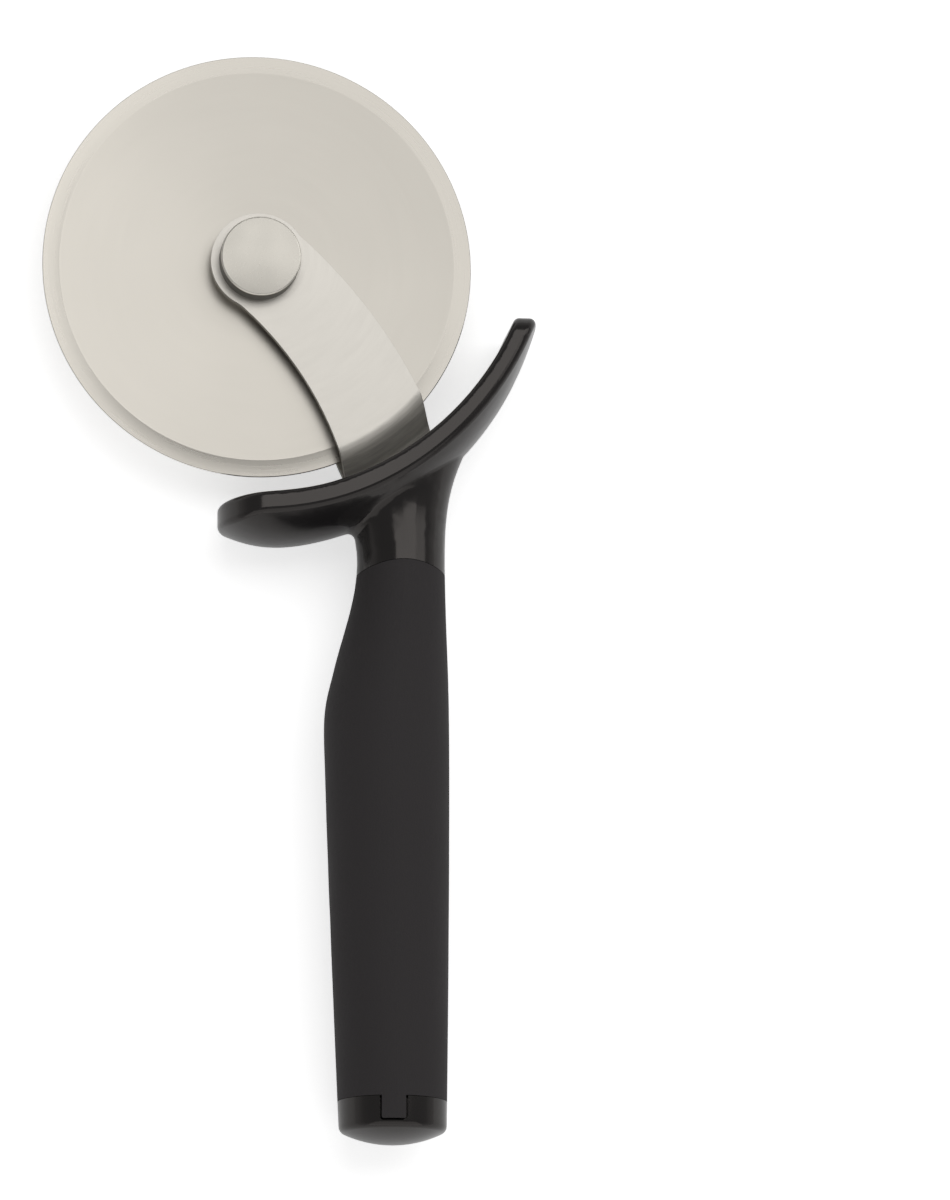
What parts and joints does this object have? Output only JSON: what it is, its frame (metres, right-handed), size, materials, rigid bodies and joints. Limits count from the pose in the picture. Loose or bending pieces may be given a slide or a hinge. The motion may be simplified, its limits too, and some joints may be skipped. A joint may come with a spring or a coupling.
{
  "type": "pizza cutter wheel",
  "caption": "Pizza cutter with a bevelled steel disc turning on a riveted fork of two swept arms, a bowed finger guard and a soft black handle, lying on its side.",
  "frame": {"origin": "middle of the foot of the bounding box, with the cutter lying on its side on a table", "axes": "+Y runs up the handle towards the wheel, +Z is the axle and the flat side's normal, +X is the side that the finger guard's high tip is on"},
  "size_m": [0.1165, 0.2594, 0.03],
  "materials": {
    "disc_steel": "fine satin, ground bevel on both sides",
    "arm_steel": "satin pressed sheet with tumbled edges",
    "rivet_steel": "smooth turned satin",
    "gloss_black": "polished hard moulding",
    "grip_black": "soft-touch matte, finely textured",
    "nylon": "natural moulded nylon",
    "pin_steel": "plain drawn wire"
  },
  "bodies": {
    "handle": {"handle_body": "gloss_black", "grip_sleeve": "grip_black", "end_cap": "gloss_black", "tang_pins": "pin_steel", "front_arm": "arm_steel", "rear_arm": "arm_steel", "axle_rivet": "rivet_steel", "rear_rivet_cap": "rivet_steel", "front_washer": "nylon", "rear_washer": "nylon"},
    "wheel": {"cutting_wheel": "disc_steel", "wheel_hub": "nylon"}
  },
  "joints": [
    {"name": "wheel_spin", "type": "hinge", "parent": "handle", "child": "wheel", "pos_m": [-0.00746, 0.0789, 0.015], "axis": [0, 0, 1], "continuous": true}
  ]
}
